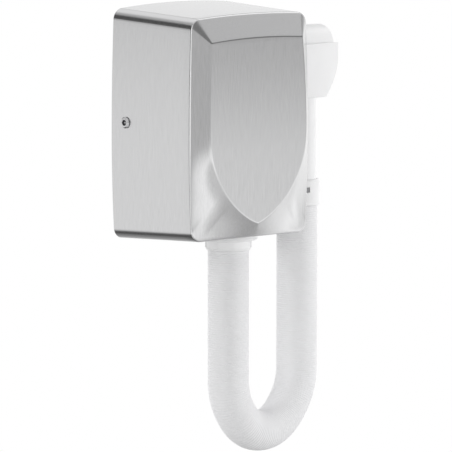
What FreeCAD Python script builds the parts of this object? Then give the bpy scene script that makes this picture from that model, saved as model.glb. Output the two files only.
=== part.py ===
import FreeCAD, Part
import math
import os
import re
import Sketcher

# Wall-mounted hose hair dryer with its holder. Millimetres, +Z up. The wall is the plane Y = 0 and
# the dryer stands out of it towards -Y. The origin is on the wall, at the middle of the housing.

doc = FreeCAD.newDocument("HoseDryer")
sheet = doc.addObject("Spreadsheet::Sheet", "Sizes")
PIECES = []

SIZES = {
    # front cover: outlines at the wall and at the front rim, then the raised shield
    "cover_wall": 1.5, "back_half": 86.8, "back_mid": 89.6, "back_top": 121.5, "back_crown": 124.5,
    "back_low": 123.0, "back_belly": 124.0, "rim_half": 83.5, "rim_mid": 85.9, "rim_top": 116.2,
    "rim_crown": 118.5, "rim_low": 118.6, "rim_belly": 117.2, "edge_round": 12.5, "rim_depth": 117,
    "rim_bow": 10, "shield_depth": 132, "shield_half": 66, "shield_wide": 70, "shield_top": 91,
    "shield_crown": 93.5, "shield_corner": 2, "shield_bend": -16, "shield_tip": -103,
    "foot_radius": 107, "lock_hole": 3.3,
    # air slots in the cover's underside
    "slot_wide": 4, "slot_long": 60, "slot_pitch": 8, "slot_first": -76, "slot_front": -94,
    # wall plate and what fixes the cover to it
    "plate_half": 84.8, "plate_high": 119, "plate_corner": 13, "plate_thick": 2,
    "wall_hole_x": 72, "wall_hole_z": 100, "wall_hole_radius": 2.75,
    "tab_half_high": 16, "tab_deep": 36, "tab_face": 86.6,
    "lock_depth": 21.5, "lock_height": 2, "lock_radius": 3, "lock_head_radius": 6,
    "lock_head_face": 89.15, "lock_head_thick": 2.3, "lock_start": 80, "lock_chamfer": 1.4,
    "socket_radius": 3.4, "socket_floor": 0.6, "pin_radius": 0.9, "pin_long": 1.3,
    "nut_radius": 6, "nut_long": 6, "screw_head_radius": 2.8, "screw_head_high": 1.8,
    # hose legs
    "leg_depth": 64, "lower_leg": 19.8, "upper_leg": 121, "hose_radius": 22, "hose_bore": 19.5,
    # outlet flange, its spigot and the bayonet ring under it
    "flange_radius": 31, "flange_low": -127.2, "spigot_radius": 25.8, "spigot_top": -112,
    "spigot_bore": 19.5, "socket_bore": 21.5, "shoulder": -120, "outlet_hole": 26.3,
    "flange_screw_ring": 28.6, "flange_screw_radius": 1.5, "gasket_thick": 1.5,
    "cuff_radius": 21.4, "cuff_bore": 19.5, "hose_start": -137.7, "ring_radius": 23.5,
    "ring_bore": 21.8, "ring_lip": 23.8, "ring_gap": 0.4, "lip_high": 1.6, "rib_wide": 7,
    "rib_high": 6.5, "rib_proud": 1.4, "rib_rise": 2.6, "rib_turn": -43,
    # fan, motor and shaft: the axis runs from the wall to the front
    "fan_x": -10.2, "fan_z": 35, "drum_radius": 52, "skin": 2, "fan_back": 38, "fan_front": 88,
    "duct_half": 20, "duct_low": -32, "intake_radius": 28, "pillar_radius": 4, "pillar_reach": 32.5,
    "motor_back": 8, "motor_radius": 18, "motor_bore": 16, "end_wall": 3, "bush_radius": 6,
    "shaft_radius": 2.5, "shaft_clear": 0.05, "rotor_radius": 12, "magnet_bore": 12.8,
    "shaft_back": 6, "shaft_front": 82, "wheel_radius": 40, "wheel_eye": 32, "wheel_back": 46,
    "wheel_front": 84, "hub_radius": 7, "hub_long": 10, "blade_thick": 1.6,
    "blade_lean": 24, "motor_screw_reach": 12,
    "motor_screw_radius": 1.5,
    # heater under the fan
    "heater_radius": 24, "heater_bore": 22.5, "mica_thick": 1, "mica_half": 22.3, "mica_low": -104,
    "mica_high": 58, "coil_radius": 17, "wire_radius": 0.9, "coil_low": -98, "coil_step": 9.4,
    "cutout_wide": 14, "cutout_deep": 5, "cutout_high": 10, "cutout_low": -60,
    # electrics
    "board_x": -62, "board_z": -108, "board_wide": 54, "board_high": 70, "board_thick": 1.6,
    "standoff_long": 12, "standoff_radius": 3, "standoff_inset": 5, "entry_x": 64, "entry_z": -25,
    "entry_radius": 4.5, "grommet_radius": 7.5, "grommet_flange": 10, "grommet_lip": 2,
    "relay_inset": 6, "relay_rise": 12, "relay_wide": 16, "relay_high": 28,
    "capacitor_inset": 40, "capacitor_rise": 24, "capacitor_radius": 8, "capacitor_long": 22,
    "clamp_z": -48, "clamp_wide": 24, "clamp_deep": 11, "clamp_high": 8, "wire_depth": 5,
    "block_z": -80, "block_wide": 28, "block_deep": 18, "block_high": 20, "well_radius": 2.2,
    "well_pitch": 8, "well_deep": 11,
    # hand piece: hose cuff, swivel collar, latch, handle and head
    "collar_low": -96.4, "collar_top": -68.7, "collar_radius": 24.7, "collar_bore": 21.2,
    "handle_radius": 20.8, "handle_bore": 18.3, "handle_low": -90, "running_gap": 0.4,
    "latch_wide": 6.9, "latch_high": 5.5, "latch_z": -79, "latch_face": 24.2, "latch_thick": 1.6,
    "latch_angle": 252.7, "head_z": 75.4, "head_radius": 21, "head_bore": 18.6, "head_back": 92.8,
    "head_front": 156, "cap_thick": 3, "neck_bore": 16, "grille_thick": 2.4, "grille_bar": 1.8,
    "grille_pitch": 7, "plug_step": 1.5,
    "magnet_radius": 5, "magnet_thick": 3,
    # holder on the right side of the housing
    "base_face": 92, "base_low": 14, "base_top": 84, "base_half": 27, "cheek_half": 25,
    "cheek_thick": 2.5, "cheek_end": 158.6, "cheek_top": 77.5, "cheek_drop": 56.7,
    "cheek_bend_x": 153.7, "cheek_bend_z": 39.8, "cheek_toe": 141.8, "cheek_low": 19.6,
    "saddle_end": 98, "saddle_gap": 0.5,
    "holder_screw_radius": 1.9, "holder_head_radius": 3.5, "holder_head_x": 84.0,
    "holder_screw_end": 90.3, "reed_x": 79, "reed_long": 12, "reed_wide": 8, "reed_high": 18,
}


def fill_sheet():
    for row, (alias, value) in enumerate(SIZES.items(), start=1):
        sheet.set(f"A{row}", alias)
        sheet.set(f"B{row}", str(value))
        sheet.setAlias(f"B{row}", alias)
    doc.recompute()


def size(alias):
    """A driving dimension as the sheet holds it."""
    return float(getattr(sheet, alias))


def formula(text):
    """A formula in alias words as a FreeCAD expression on the sheet."""
    return re.sub(r"[a-z][a-z_]+", lambda word: "Sizes." + word.group(), str(text))


def bind(item, **properties):
    for name, text in properties.items():
        item.setExpression(name, formula(text))
    return item


def place(item, x, y, z, towards="up"):
    """Set an object down at a point, its own Z axis up, to the right or to the front."""
    turns = {"up": ((0, 0, 1), 0), "right": ((0, 1, 0), 90), "front": ((1, 0, 0), 90)}
    axis, angle = turns[towards]
    turn = FreeCAD.Rotation(FreeCAD.Vector(*axis), angle)
    item.Placement = FreeCAD.Placement(FreeCAD.Vector(), turn)
    for letter, text in zip("xyz", (x, y, z)):
        item.setExpression("Placement.Base." + letter, formula(text))
    return item


def box(name, x, y, z, length, width, height):
    item = doc.addObject("Part::Box", name)
    return place(bind(item, Length=length, Width=width, Height=height), x, y, z)


def cylinder(name, x, y, z, radius, height, towards="up"):
    item = doc.addObject("Part::Cylinder", name)
    return place(bind(item, Radius=radius, Height=height), x, y, z, towards)


def fuse(name, *items):
    item = doc.addObject("Part::MultiFuse", name)
    item.Shapes = list(items)
    return item


def cut(name, base, *tools):
    item = doc.addObject("Part::Cut", name)
    item.Base = base
    item.Tool = tools[0] if len(tools) == 1 else fuse(name + "_tools", *tools)
    return item


def group(name, items):
    """Identical pieces that share one node."""
    item = doc.addObject("Part::Compound", name)
    item.Links = list(items)
    return item


def piece(item, label):
    """Name a finished sub-part: its label is its file's name."""
    item.Label = label
    PIECES.append(item)
    return item


def solid(name, shape):
    item = doc.addObject("Part::Feature", name)
    item.Shape = shape
    return item


def turned(name, points, x, y, z, towards="up"):
    """A body of revolution: its profile's corners are (radius, height) formulas."""
    body = doc.addObject("PartDesign::Body", name)
    sketch = body.newObject("Sketcher::SketchObject", name + "_profile")
    plane = next(item for item in body.Origin.OriginFeatures if item.Role == "XZ_Plane")
    sketch.AttachmentSupport = (plane, "")
    sketch.MapMode = "FlatFace"
    corners = [FreeCAD.Vector(worked(radius), worked(height), 0) for radius, height in points]
    count = len(points)
    for start in range(count):
        sketch.addGeometry(Part.LineSegment(corners[start], corners[(start + 1) % count]), False)
    for start in range(count):
        sketch.addConstraint(Sketcher.Constraint("Coincident", start, 2, (start + 1) % count, 1))
    for start, (radius, height) in enumerate(points):
        for kind, text, line in (("DistanceX", radius, -2), ("DistanceY", height, -1)):
            value = worked(text)
            if abs(value) < 1e-9:
                sketch.addConstraint(Sketcher.Constraint("PointOnObject", start, 1, line))
            else:
                index = sketch.addConstraint(Sketcher.Constraint(kind, -1, 1, start, 1, value))
                sketch.setExpression(f"Constraints[{index}]", formula(text))
    turn = body.newObject("PartDesign::Revolution", name + "_turn")
    turn.Profile = sketch
    turn.ReferenceAxis = (sketch, ["V_Axis"])
    turn.Angle = 360
    return place(body, x, y, z, towards)


def worked(text):
    """The number that a formula of sums, differences, products and quotients stands for."""
    cell = bind(doc.addObject("App::FeaturePython", "Scratch"))
    cell.addProperty("App::PropertyFloat", "Result")
    cell.setExpression("Result", formula(text))
    cell.recompute()
    result = float(cell.Result)
    doc.removeObject(cell.Name)
    return result


# ---------------------------------------------------------------- front cover

def arc(start, middle, end):
    return Part.Arc(*[FreeCAD.Vector(*point) for point in (start, middle, end)]).toShape()


def mirrored(point):
    return (-point[0], point[1], point[2])


def both_halves(right):
    """Close a right-hand chain of arcs, top to bottom, with its mirror image."""
    left = [tuple(mirrored(point) for point in reversed(points)) for points in reversed(right)]
    return Part.Wire([arc(*points) for points in right + left])


def round_outline(depth, half, mid, top, crown, low, belly, bow, bend):
    """Six arcs down the right side of a rounded oblong whose four sides all swell a little."""
    corner = size("edge_round")
    inner = half - corner
    slant = corner * math.sqrt(0.5)
    y = -depth
    return both_halves([
        ((0, y, crown), (inner / 2, y, crown - (crown - top) / 4), (inner, y, top)),
        ((inner, y, top), (inner + slant, y, top - corner + slant), (half, y, top - corner)),
        ((half, y, top - corner), (mid - (mid - half) / 4, y, (top - corner + bend) / 2),
         (mid, y, bend)),
        ((mid, y, bend), (mid - (mid - half) / 4, y, (bend - low + corner) / 2),
         (half, y, corner - low)),
        ((half, y, corner - low), (inner + slant, y, corner - slant - low), (inner, y, -low)),
        ((inner, y, -low), (inner / 2, y - bow * 0.75, -belly + (belly - low) / 4),
         (0, y - bow, -belly)),
    ])


def shield_outline(depth, inset):
    """The raised face: straight flanks over a pointed, bellied foot."""
    half = size("shield_half") - inset
    wide = size("shield_wide") - inset
    top = size("shield_top") - inset
    crown = size("shield_crown") - inset
    corner = size("shield_corner")
    bend = size("shield_bend")
    tip = size("shield_tip") + inset
    slant = corner * (1 - math.sqrt(0.5))
    y = -depth

    radius = size("foot_radius")
    chord = math.hypot(wide, bend - tip)
    rise = math.sqrt(radius ** 2 - (chord / 2) ** 2)
    middle = (wide / 2, (bend + tip) / 2)
    along = (wide / chord, (bend - tip) / chord)
    centre = (middle[0] - along[1] * rise, middle[1] + along[0] * rise)
    first = math.atan2(bend - centre[1], wide - centre[0])
    last = math.atan2(tip - centre[1], -centre[0])

    def on_foot(share):
        angle = first + (last - first) * share
        return (centre[0] + radius * math.cos(angle), y, centre[1] + radius * math.sin(angle))

    stations = [0, 0.46, 0.62, 1]
    feet = [(on_foot(a), on_foot((a + b) / 2), on_foot(b)) for a, b in zip(stations, stations[1:])]
    return both_halves([
        ((0, y, crown), (half / 2, y, crown - (crown - top) / 4), (half - corner, y, top)),
        ((half - corner, y, top), (half - slant, y, top - slant), (half, y, top - corner)),
        ((half, y, top - corner), (wide - (wide - half) / 4, y, (top + bend) / 2),
         (wide, y, bend)),
        *feet,
    ])


def cover_block(inset, back):
    """The cover's outer form, or with an inset the space inside its sheet."""
    rear = round_outline(back, size("back_half") - inset, size("back_mid") - inset,
                         size("back_top") - inset, size("back_crown") - inset,
                         size("back_low") - inset, size("back_belly") - inset, 0,
                         size("shield_bend"))
    rim = round_outline(size("rim_depth") - inset, size("rim_half") - inset,
                        size("rim_mid") - inset, size("rim_top") - inset,
                        size("rim_crown") - inset, size("rim_low") - inset,
                        size("rim_belly") - inset, size("rim_bow"), size("shield_bend"))
    face = shield_outline(size("shield_depth") - inset, inset)
    return Part.makeLoft([rear, rim, face], True, True)


def rod(x, y, z, radius, length, direction):
    return Part.makeCylinder(radius, length, FreeCAD.Vector(x, y, z), FreeCAD.Vector(*direction))


# depth and height of the four screws that hold the holder on
HOLDER_SCREWS = [(-50, 26), (-78, 26), (-50, 68), (-78, 68)]
# the corners that the hanging hose's middle line is rounded between: across and up
HOSE_BEND = [(19.8, -305.7), (50.1, -336), (90.7, -336), (121, -305.7)]
# longer than any wall that a cutter has to pass through
THROUGH = 40


def flange_screw_places():
    reach = size("flange_screw_ring")
    for quarter in range(4):
        angle = math.radians(45 + 90 * quarter)
        yield (size("lower_leg") + reach * math.cos(angle),
               reach * math.sin(angle) - size("leg_depth"))


def front_cover(outer, inner):
    """Deep-drawn steel: outlet hole and air slots below, screw holes in both sides."""
    shell = outer.cut(inner)
    below, screw_start = -size("back_belly") - THROUGH / 4, size("lock_start")
    cutters = [rod(size("lower_leg"), -size("leg_depth"), below, size("outlet_hole"), THROUGH,
                   (0, 0, 1))]
    for direction in (-1, 1):
        cutters.append(rod(direction * screw_start, -size("lock_depth"), size("lock_height"),
                           size("lock_hole"), THROUGH, (direction, 0, 0)))
    slot_count = 7
    for index in range(slot_count):
        corner = FreeCAD.Vector(size("slot_first") + size("slot_pitch") * index,
                                size("slot_front"), below)
        cutters.append(Part.makeBox(size("slot_wide"), size("slot_long"), THROUGH, corner))
    for y, z in HOLDER_SCREWS:
        cutters.append(rod(screw_start, y, z, size("holder_screw_radius") + 0.3, THROUGH,
                           (1, 0, 0)))
    for x, y in flange_screw_places():
        cutters.append(rod(x, y, below, size("flange_screw_radius") + 0.2, THROUGH / 2,
                           (0, 0, 1)))
    for cutter in cutters:
        shell = shell.cut(cutter)
    return piece(solid("front_cover", shell), "front_cover")


# ---------------------------------------------------------------- wall plate and its locks

def wall_plate():
    """A steel plate with four wall holes, a wire entry and two bent tabs with rivet nuts."""
    sheet_metal = box("plate_blank", "-plate_half", "-plate_thick", "-plate_high",
                      "2 * plate_half", "plate_thick", "2 * plate_high")
    doc.recompute()
    plate = doc.addObject("Part::Fillet", "plate_sheet")
    plate.Base = sheet_metal
    corner = size("plate_corner")
    plate.Edges = [(number, corner, corner)
                   for number, edge in enumerate(sheet_metal.Shape.Edges, start=1)
                   if abs(edge.Length - size("plate_thick")) < 1e-6]
    solids = [plate]
    holes = []
    for side, start in (("left", "-tab_face"), ("right", "tab_face - plate_thick")):
        solids.append(box("tab_" + side, start, "-tab_deep", "lock_height - tab_half_high",
                          "plate_thick", "tab_deep", "2 * tab_half_high"))
        foot = "-tab_face" if side == "left" else "plate_half - plate_thick"
        solids.append(box("tab_foot_" + side, foot, "-plate_thick",
                          "lock_height - tab_half_high", "tab_face - plate_half + plate_thick",
                          "plate_thick", "2 * tab_half_high"))
        nut = "plate_thick - tab_face" if side == "left" else "tab_face - plate_thick - nut_long"
        solids.append(cylinder("nut_" + side, nut, "-lock_depth", "lock_height", "nut_radius",
                               "nut_long", "right"))
    holes.append(cylinder("lock_bore", "-100", "-lock_depth", "lock_height",
                          "lock_radius + shaft_clear", "200", "right"))
    for across in ("wall_hole_x", "-wall_hole_x"):
        for up in ("wall_hole_z", "-wall_hole_z"):
            holes.append(cylinder("wall_hole", across, "1", up, "wall_hole_radius",
                                  "plate_thick + 2", "front"))
    holes.append(cylinder("entry_hole", "entry_x", "1", "entry_z", "grommet_radius",
                          "plate_thick + 2", "front"))
    return piece(cut("plate", fuse("plate_body", *solids), *holes), "wall_plate")


def lock_screw(side, label):
    """A domed security screw: six-sided socket with a centre pin, one in each flank."""
    screw = turned(label + "_turned", [
        ("0", "0"), ("lock_radius", "0"), ("lock_radius", "lock_head_face - lock_start"),
        ("lock_head_radius", "lock_head_face - lock_start"),
        ("lock_head_radius", "lock_head_face + 1 - lock_start"),
        ("lock_head_radius - lock_chamfer", "lock_head_face + lock_head_thick - lock_start"),
        ("0", "lock_head_face + lock_head_thick - lock_start")],
        "lock_start", "-lock_depth", "lock_height", "right")
    socket = doc.addObject("Part::Prism", label + "_socket")
    bind(socket, Circumradius="socket_radius", Height="lock_head_thick + 1")
    place(socket, "lock_head_face + socket_floor", "-lock_depth", "lock_height", "right")
    pin = cylinder(label + "_pin", "lock_head_face + socket_floor", "-lock_depth", "lock_height",
                   "pin_radius", "pin_long", "right")
    screw = fuse(label + "_solid", cut(label + "_cut", screw, socket), pin)
    if side == "left":
        flipped = doc.addObject("Part::Mirroring", label + "_mirror")
        flipped.Source = screw
        flipped.Normal = (1, 0, 0)
        screw = flipped
    return piece(screw, label)


# ---------------------------------------------------------------- fan and motor

def fan_cylinder(name, back, front, radius):
    """A cylinder on the fan's axis from one depth to another."""
    return cylinder(name, "fan_x", "-" + back, "fan_z", radius, f"{front} - {back}", "front")


def duct_box(name, back, front, wall):
    """The fan's square outlet, from its axis down to the heater."""
    half = f"(duct_half + {wall})"
    return box(name, f"lower_leg - {half}", f"-({front})", f"duct_low - 2 + {wall}", f"2 * {half}",
               f"({front}) - ({back})", f"fan_z - duct_low + 2 - {wall}")


def scroll_back():
    """The drum with its outlet, a motor wall and four pillars down to the wall plate."""
    body = [fan_cylinder("drum", "fan_back", "fan_front", "drum_radius"),
            duct_box("outlet_block", "fan_back", "fan_front", "skin")]
    hollow = [fan_cylinder("drum_space", "(fan_back + skin)", "(fan_front + 1)",
                           "drum_radius - skin"),
              duct_box("outlet_space", "fan_back + skin", "fan_front + 1", "0"),
              fan_cylinder("shaft_way", "(fan_back - 1)", "(fan_back + skin + 1)",
                           "bush_radius + 1")]
    hollow += [cylinder("motor_screw_hole", f"fan_x {across} motor_screw_reach", "1 - fan_back",
                        "fan_z", "motor_screw_radius + shaft_clear", "skin + 2", "front")
               for across in "+-"]
    shell = cut("scroll_shell", fuse("scroll_form", *body), *hollow)
    pillars = [cylinder("pillar", f"fan_x {across} pillar_reach", "-plate_thick",
                        f"fan_z {up} pillar_reach", "pillar_radius", "fan_back - plate_thick",
                        "front") for across in "+-" for up in "+-"]
    return piece(fuse("scroll", shell, *pillars), "scroll_back")


def scroll_front():
    body = fuse("front_form", fan_cylinder("front_disc", "fan_front", "(fan_front + skin)",
                                           "drum_radius"),
                duct_box("front_tongue", "fan_front", "fan_front + skin", "skin"))
    intake = fan_cylinder("intake", "(fan_front - 1)", "(fan_front + skin + 1)", "intake_radius")
    return piece(cut("front_plate", body, intake), "scroll_front")


def motor_can():
    """A drawn can, open inside, with a seat for a bush in each end wall."""
    long = "(fan_back - motor_back)"
    return piece(turned("can", [
        ("bush_radius", "0"), ("motor_radius", "0"), ("motor_radius", long),
        ("bush_radius", long), ("bush_radius", long + " - end_wall"),
        ("motor_bore", long + " - end_wall"), ("motor_bore", "end_wall"),
        ("bush_radius", "end_wall")], "fan_x", "-motor_back", "fan_z", "front"), "motor_can")


def ring(name, depth, outer, bore, length):
    """A plain ring on the fan's axis, made by turning."""
    return turned(name, [(bore, "0"), (outer, "0"), (outer, length), (bore, length)], "fan_x",
                  "-(" + depth + ")", "fan_z", "front")


def motor_parts():
    piece(group("bushes", [
        ring("back_bush", "motor_back", "bush_radius", "shaft_radius + shaft_clear", "end_wall"),
        ring("front_bush", "fan_back - end_wall", "bush_radius", "shaft_radius + shaft_clear",
             "end_wall")]), "motor_bushes")
    piece(ring("magnets", "motor_back + end_wall + 2", "motor_bore", "magnet_bore",
               "fan_back - motor_back - 2 * end_wall - 4"), "stator_magnets")
    piece(ring("armature", "motor_back + end_wall + 2", "rotor_radius", "shaft_radius",
               "fan_back - motor_back - 2 * end_wall - 4"), "rotor")
    piece(fan_cylinder("shaft", "shaft_back", "shaft_front", "shaft_radius"), "motor_shaft")
    screws = []
    for name, across in (("left", "-"), ("right", "+")):
        screws.append(turned("motor_screw_" + name, [
            ("0", "0"), ("motor_screw_radius", "0"), ("motor_screw_radius", "skin"),
            ("screw_head_radius", "skin"), ("screw_head_radius", "skin + screw_head_high"),
            ("0", "skin + screw_head_high")], f"fan_x {across} motor_screw_reach", "-fan_back",
            "fan_z", "front"))
    return piece(group("motor_fixings", screws), "motor_screws")


def impeller():
    """A forward-curved squirrel-cage wheel: back disc, hub, ring of blades and front ring."""
    web = turned("wheel", [
        ("shaft_radius", "0"), ("wheel_radius", "0"), ("wheel_radius", "skin"),
        ("hub_radius", "skin"), ("hub_radius", "hub_long"), ("shaft_radius", "hub_long")],
        "fan_x", "-wheel_back", "fan_z", "front")
    rim = ring("wheel_rim", "wheel_front - skin", "wheel_radius", "wheel_eye", "skin")
    blades = []
    blade_count = 22
    for index in range(blade_count):
        turn = 360 * index / blade_count
        blade = doc.addObject("Part::Box", "blade")
        bind(blade, Length="wheel_radius - wheel_eye - 1", Width="blade_thick",
             Height="wheel_front - wheel_back - 2 * skin")
        across = FreeCAD.Vector(size("fan_x"), 0, size("fan_z"))
        lay = FreeCAD.Rotation(FreeCAD.Vector(1, 0, 0), 90)
        spin = FreeCAD.Rotation(FreeCAD.Vector(0, 1, 0), turn)
        start = FreeCAD.Vector(size("wheel_eye") + 0.5, -size("wheel_back") - size("skin"), 0)
        lean = FreeCAD.Rotation(FreeCAD.Vector(0, 1, 0), size("blade_lean"))
        blade.Placement = FreeCAD.Placement(across, spin) * FreeCAD.Placement(start, lean * lay)
        blades.append(blade)
    return piece(fuse("squirrel_cage", web, rim, *blades), "impeller")


# ---------------------------------------------------------------- heater

def heater_duct():
    """A tube under the fan with a square top flange that meets the fan's outlet."""
    top = "(duct_low - 2)"
    flange = box("duct_flange", "lower_leg - duct_half - skin", "-(fan_front + skin)",
                 top + " - skin", "2 * (duct_half + skin)", "fan_front + skin - fan_back", "skin")
    low = "(spigot_top + gasket_thick)"
    tube = cylinder("duct_tube", "lower_leg", "-leg_depth", low, "heater_radius",
                    f"{top} - skin - {low}")
    bore = cylinder("duct_bore", "lower_leg", "-leg_depth", low + " - 1", "heater_bore",
                    f"{top} - {low} + 2")
    return piece(cut("duct", fuse("duct_form", flange, tube), bore), "heater_duct")


def coil_rings(name, thickness):
    rings = []
    ring_count = 6
    for index in range(ring_count):
        wire = doc.addObject("Part::Torus", name)
        bind(wire, Radius1="coil_radius", Radius2=thickness)
        place(wire, "lower_leg", "-leg_depth", f"coil_low + {index} * coil_step")
        rings.append(wire)
    return rings


def heater():
    """Rings of heating wire in the notches of two crossed mica sheets, and their cutout."""
    piece(group("coil", coil_rings("coil_ring", "wire_radius")), "heater_coil")
    sheets = fuse(
        "mica_cross",
        box("mica_wide", "lower_leg - mica_half", "-leg_depth - mica_thick / 2", "mica_low",
            "2 * mica_half", "mica_thick", "mica_high"),
        box("mica_deep", "lower_leg - mica_thick / 2", "-leg_depth - mica_half", "mica_low",
            "mica_thick", "2 * mica_half", "mica_high"))
    piece(cut("mica", sheets, *coil_rings("notch", "wire_radius + 0.1")), "mica_frame")
    piece(box("cutout", "lower_leg - cutout_wide / 2", "-leg_depth - heater_radius - cutout_deep",
              "cutout_low", "cutout_wide", "cutout_deep", "cutout_high"), "thermal_cutout")


# ---------------------------------------------------------------- electrics

def control_board():
    back = "-(plate_thick + standoff_long)"
    piece(box("board", "board_x", back + " - board_thick", "board_z", "board_wide",
              "board_thick", "board_high"), "control_board")
    posts = []
    for across in ("board_x + standoff_inset", "board_x + board_wide - standoff_inset"):
        for up in ("board_z + standoff_inset", "board_z + board_high - standoff_inset"):
            posts.append(cylinder("standoff", across, "-plate_thick", up, "standoff_radius",
                                  "standoff_long", "front"))
    piece(group("standoffs", posts), "board_standoffs")
    face = "-(plate_thick + standoff_long + board_thick)"
    piece(box("relay_case", "board_x + relay_inset", face + " - relay_wide",
              "board_z + relay_rise", "relay_wide", "relay_wide", "relay_high"), "relay")
    piece(cylinder("capacitor_can", "board_x + capacitor_inset", face, "board_z + capacitor_rise",
                   "capacitor_radius", "capacitor_long", "front"), "capacitor")


def mains_entry():
    """Grommet in the wall plate, the wires' clamp below it and the terminals below that."""
    flange = "grommet_flange"
    piece(turned("grommet", [
        ("entry_radius", "0"), ("grommet_radius", "0"), ("grommet_radius", "plate_thick"),
        (flange, "plate_thick"), (flange, "plate_thick + grommet_lip"),
        ("entry_radius", "plate_thick + grommet_lip")],
        "entry_x", "0", "entry_z", "front"), "cable_grommet")
    bridge = box("clamp_bridge", "entry_x - clamp_wide / 2", "-plate_thick - clamp_deep",
                 "clamp_z", "clamp_wide", "clamp_deep", "clamp_high")
    channel = cylinder("clamp_channel", "entry_x", "-plate_thick - wire_depth", "clamp_z - 1",
                       "entry_radius - 0.3", "clamp_high + 2")
    piece(cut("clamp", bridge, channel), "wire_clamp")
    block = box("block_case", "entry_x - block_wide / 2", "-plate_thick - block_deep", "block_z",
                "block_wide", "block_deep", "block_high")
    wells = [cylinder("wire_well", f"entry_x + {offset} * well_pitch",
                      "-plate_thick - block_deep / 2", "block_z + block_high - well_deep + 1",
                      "well_radius", "well_deep") for offset in (-1, 0, 1)]
    piece(cut("block", block, *wells), "terminal_block")


# ---------------------------------------------------------------- outlet and lower hose end

def hose_flange(outer):
    """A moulded flange that follows the sloping underside, with its spigot through the hole."""
    x, y = size("lower_leg"), -size("leg_depth")
    low = size("flange_low")
    disc = rod(x, y, low, size("flange_radius"), THROUGH, (0, 0, 1)).cut(outer)
    spigot = rod(x, y, low, size("spigot_radius"), size("spigot_top") - low, (0, 0, 1))
    disc = Part.makeCompound([part for part in disc.Solids if part.BoundBox.ZMin < low + 1])
    form = disc.fuse(spigot)
    form = form.cut(rod(x, y, low - 1, size("spigot_bore"), THROUGH, (0, 0, 1)))
    form = form.cut(rod(x, y, low - 1, size("socket_bore"), size("shoulder") - low + 1, (0, 0, 1)))
    for across, depth in flange_screw_places():
        form = form.cut(rod(across, depth, low + 2, size("flange_screw_radius") + 0.05, THROUGH,
                            (0, 0, 1)))
    return piece(solid("flange", form.removeSplitter()), "hose_flange")


def flange_screws():
    """Four screws from inside the cover, pulling the flange up against its underside."""
    screws = []
    depth_range = size("rim_depth")
    for x, y in flange_screw_places():
        belly = size("back_belly") + (size("rim_belly") - size("back_belly")) * (-y) / depth_range
        floor = size("cover_wall") - belly + 1.2
        low = size("flange_low") + 2.5
        shank = rod(x, y, low, size("flange_screw_radius"), floor - low, (0, 0, 1))
        screws.append(shank.fuse(rod(x, y, floor, size("screw_head_radius"),
                                     size("screw_head_high"), (0, 0, 1))))
    return piece(solid("flange_fixings", Part.makeCompound(screws)), "flange_screws")


def lower_hose_end():
    piece(turned("gasket", [
        ("heater_bore", "0"), ("spigot_radius", "0"), ("spigot_radius", "gasket_thick"),
        ("heater_bore", "gasket_thick")], "lower_leg", "-leg_depth", "spigot_top"),
        "outlet_gasket")
    piece(turned("lower_cuff", [
        ("cuff_bore", "0"), ("cuff_radius", "0"), ("cuff_radius", "shoulder - hose_start"),
        ("cuff_bore", "shoulder - hose_start")], "lower_leg", "-leg_depth", "hose_start"),
        "lower_hose_cuff")
    top = "(flange_low - ring_gap - ring_gap - hose_start)"
    lip = "lip_high"
    collar = turned("ring_form", [
        ("ring_bore", "0"), ("ring_lip", "0"), ("ring_lip", lip), ("ring_radius", lip + " + 0.4"),
        ("ring_radius", top), ("ring_bore", top)], "lower_leg", "-leg_depth",
        "hose_start + ring_gap")
    ribs = []
    for side in range(2):
        rib = doc.addObject("Part::Box", "grip_rib")
        bind(rib, Length="rib_proud + 1", Width="rib_wide", Height="rib_high")
        centre = FreeCAD.Vector(size("lower_leg"), -size("leg_depth"),
                                size("hose_start") + size("rib_rise"))
        spin = FreeCAD.Rotation(FreeCAD.Vector(0, 0, 1), size("rib_turn") + 180 * side)
        start = FreeCAD.Vector(size("ring_radius") - 1, -size("rib_wide") / 2, 0)
        rib.Placement = FreeCAD.Placement(centre, spin) * FreeCAD.Placement(start,
                                                                            FreeCAD.Rotation())
        ribs.append(rib)
    return piece(fuse("ring", collar, *ribs), "bayonet_ring")


# ---------------------------------------------------------------- hose

def hose_path(corners):
    """Straight runs joined by tangent arcs, each as large as its two runs allow."""
    points = [FreeCAD.Vector(x, -size("leg_depth"), z) for x, z in corners]
    edges, here = [], points[0]
    length = 0
    for before, at, after in zip(points, points[1:], points[2:]):
        inward, outward = (before - at), (after - at)
        shorter = min(inward.Length, outward.Length)
        inward.normalize()
        outward.normalize()
        turn = math.pi - inward.getAngle(outward)
        radius = 0.45 * shorter / math.tan(turn / 2)
        reach = 0.45 * shorter
        start, end = at + inward * reach, at + outward * reach
        bisector = (inward + outward).normalize()
        middle = at + bisector * (radius / math.cos(turn / 2) - radius)
        edges += [Part.LineSegment(here, start).toShape(), Part.Arc(start, middle, end).toShape()]
        length += (start - here).Length + radius * turn
        print(f"hose bend radius {radius:.1f}")
        here = end
    edges.append(Part.LineSegment(here, points[-1]).toShape())
    length += (points[-1] - here).Length
    return Part.Wire(edges), length


def hose():
    """The hanging hose: straight down, round one bend under its own weight, straight up."""
    start, end = size("hose_start"), size("collar_low") - size("running_gap")
    corners = [(size("lower_leg"), start), *HOSE_BEND, (size("upper_leg"), end)]
    path, length = hose_path(corners)

    def tube(radius):
        profile = Part.makeCircle(radius, path.Vertexes[0].Point, FreeCAD.Vector(0, 0, 1))
        return path.makePipeShell([Part.Wire(profile)], True, True)

    form = tube(size("hose_radius")).cut(tube(size("hose_bore")))
    area = math.pi * (size("hose_radius") ** 2 - size("hose_bore") ** 2)
    print(f"hose length {length:.1f}, volume {form.Volume:.0f}, should be {area * length:.0f}")
    return piece(solid("hose_tube", form), "hose")


# ---------------------------------------------------------------- hand piece

def upright(name, points, low):
    """A body turned on the upper hose leg's axis."""
    return turned(name, points, "upper_leg", "-leg_depth", low)


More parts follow.
